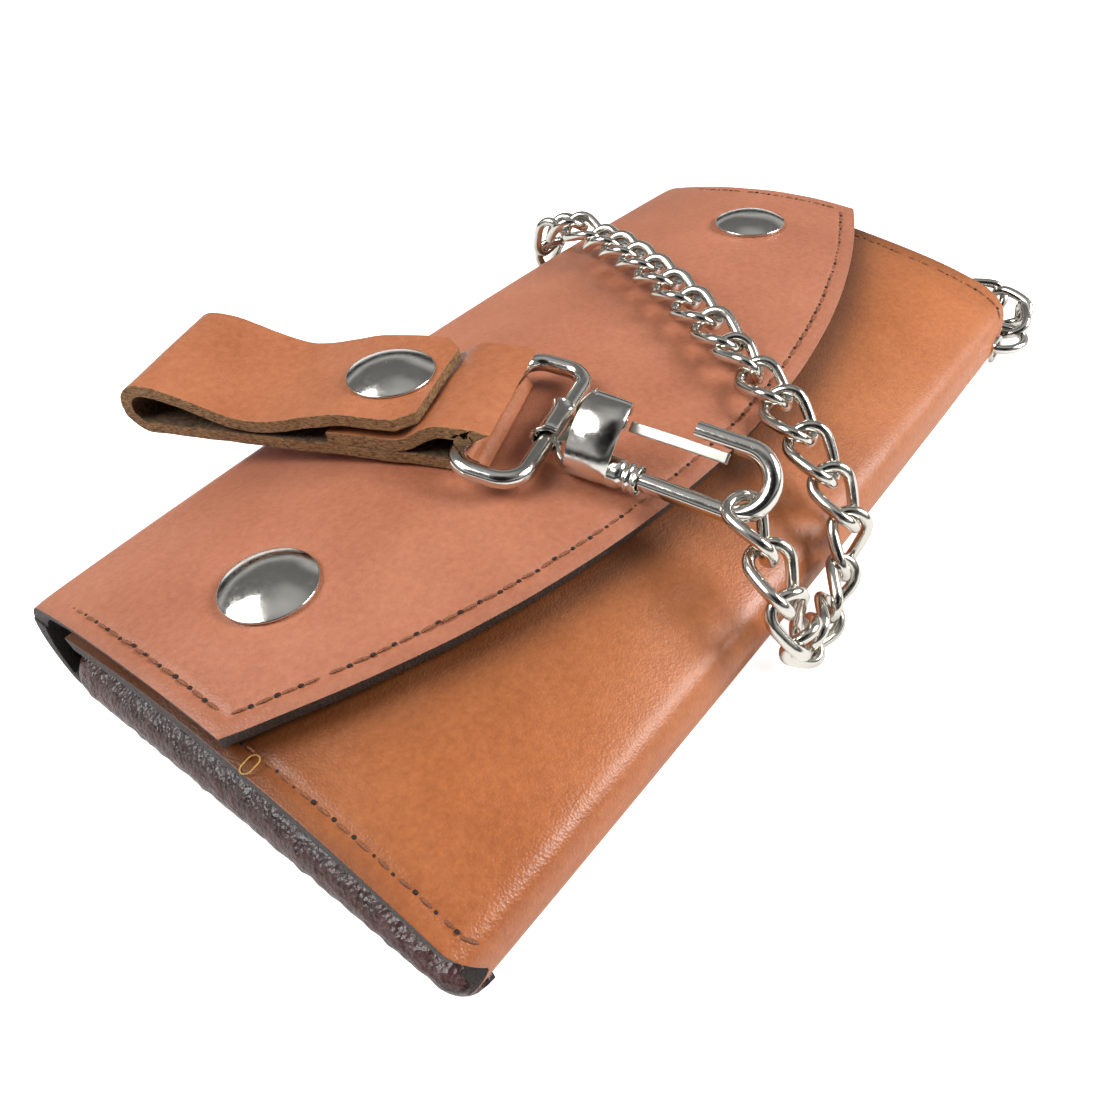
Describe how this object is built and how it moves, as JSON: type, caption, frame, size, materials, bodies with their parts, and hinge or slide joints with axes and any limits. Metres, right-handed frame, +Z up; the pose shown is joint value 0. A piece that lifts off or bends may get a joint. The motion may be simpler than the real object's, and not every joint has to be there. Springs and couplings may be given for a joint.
{
  "type": "chain wallet",
  "caption": "Long leather wallet with a snap-down flap, wallet chain from a corner ring, clip hook and leather belt loop.",
  "frame": {"origin": "under the middle of the wallet's flat back, with the wallet lying on its back", "axes": "+X along the wallet towards the corner ring, +Y from the rounded fold towards the spine, +Z up out of the flap"},
  "size_m": [0.1914, 0.124, 0.0375],
  "materials": {
    "cover_leather": "smooth veg-tanned leather, satin to glossy",
    "flap_leather": "smooth leather, satin, fine grain, black painted edge",
    "strap_leather": "thick leather with raw fibrous edges",
    "lining": "black lining leather, satin",
    "pocket_leather": "black split leather, satin",
    "gusset_leather": "soft black leather, glossy creases",
    "nickel": "polished nickel plate",
    "chain_steel": "polished nickel-plated steel wire",
    "spring_steel": "cold-rolled spring strip"
  },
  "bodies": {
    "wallet_body": {"cover_leather": "cover_leather", "cover_lining": "lining", "pocket_board": "pocket_leather", "card_pocket_1": "pocket_leather", "card_pocket_2": "pocket_leather", "card_pocket_3": "pocket_leather", "bill_divider": "pocket_leather", "gusset_near": "gusset_leather", "gusset_far": "gusset_leather", "snap_stud_near": "nickel", "snap_stud_far": "nickel", "snap_post_near": "nickel", "snap_post_far": "nickel", "corner_eyelet": "nickel", "corner_ring": "nickel", "tail_end_links": "chain_steel", "tail_spine_links": "chain_steel"},
    "flap": {"flap_leather": "flap_leather", "flap_lining": "lining", "snap_cap_near": "nickel", "snap_cap_far": "nickel", "snap_socket_near": "nickel", "snap_socket_far": "nickel"},
    "lead": {"lead_flap_links": "chain_steel", "lead_hanging_links": "chain_steel", "hook": "nickel", "clip_body": "nickel"},
    "gate": {"gate": "spring_steel"},
    "belt_loop": {"wire_loop": "nickel", "strap_main": "strap_leather", "belt_stud": "nickel", "belt_post": "nickel"},
    "belt_leaf": {"strap_leaf": "strap_leather", "belt_cap": "nickel", "belt_socket": "nickel"}
  },
  "joints": [
    {"name": "lead_swing", "type": "hinge", "parent": "wallet_body", "child": "lead", "pos_m": [0, -0.1, 0.012], "axis": [1, 0, 0], "range_deg": [0, 170]},
    {"name": "flap_hinge", "type": "hinge", "parent": "wallet_body", "child": "flap", "pos_m": [0, 0.0423, 0.0217], "axis": [-1, 0, 0], "range_deg": [0, 170]},
    {"name": "gate_spring", "type": "hinge", "parent": "lead", "child": "gate", "pos_m": [-0.01619, -0.01885, 0.03358], "axis": [0.6743, 0.1829, -0.7154], "range_deg": [0, 12], "stiffness_Nm_per_rad": 0.02, "springref_deg": -5.73},
    {"name": "loop_turn", "type": "hinge", "parent": "lead", "child": "belt_loop", "pos_m": [-0.0192, -0.0057, 0.02893], "axis": [0.9613, 0.2756, 0], "range_deg": [0, 60]},
    {"name": "belt_leaf_hinge", "type": "hinge", "parent": "belt_loop", "child": "belt_leaf", "pos_m": [-0.04372, 0.05934, 0.03624], "axis": [-0.9272, -0.3746, 0], "range_deg": [0, 100]}
  ],
  "couplings": [
    {"joint": "flap_hinge", "follows": "lead_swing", "ratio": 1}
  ]
}
